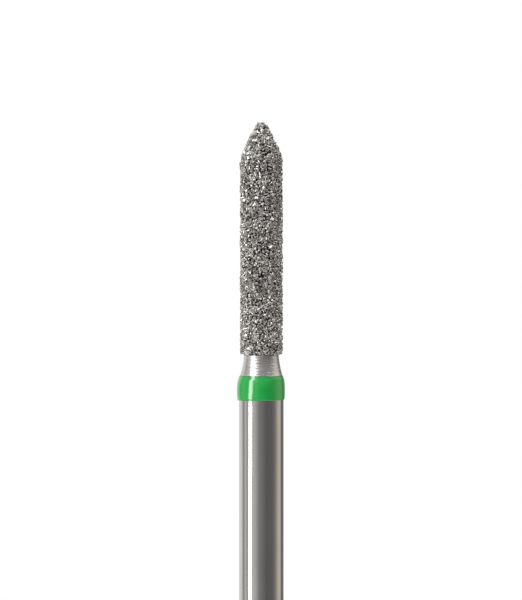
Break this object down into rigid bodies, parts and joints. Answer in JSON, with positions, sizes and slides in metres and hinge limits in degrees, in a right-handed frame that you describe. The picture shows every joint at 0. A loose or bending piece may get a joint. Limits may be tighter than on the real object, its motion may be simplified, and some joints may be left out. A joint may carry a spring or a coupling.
{
  "type": "dental bur",
  "caption": "Friction-grip diamond bur: plain round steel shank, green painted grit ring, hollow-curved neck and a pointed cylinder head coated with coarse diamond grit.",
  "frame": {"origin": "centre of the flat end of the shank", "axes": "+Z along the bur's axis, from the shank's end to the point"},
  "size_m": [0.0016, 0.0016, 0.021],
  "materials": {
    "steel": "fine turned and bright",
    "diamond_grit": "rough: coarse diamond grains in plated nickel",
    "ring_paint": "glossy baked paint"
  },
  "bodies": {
    "root": {"steel_blank": "steel", "diamond_coating": "diamond_grit", "colour_ring": "ring_paint"}
  },
  "joints": []
}
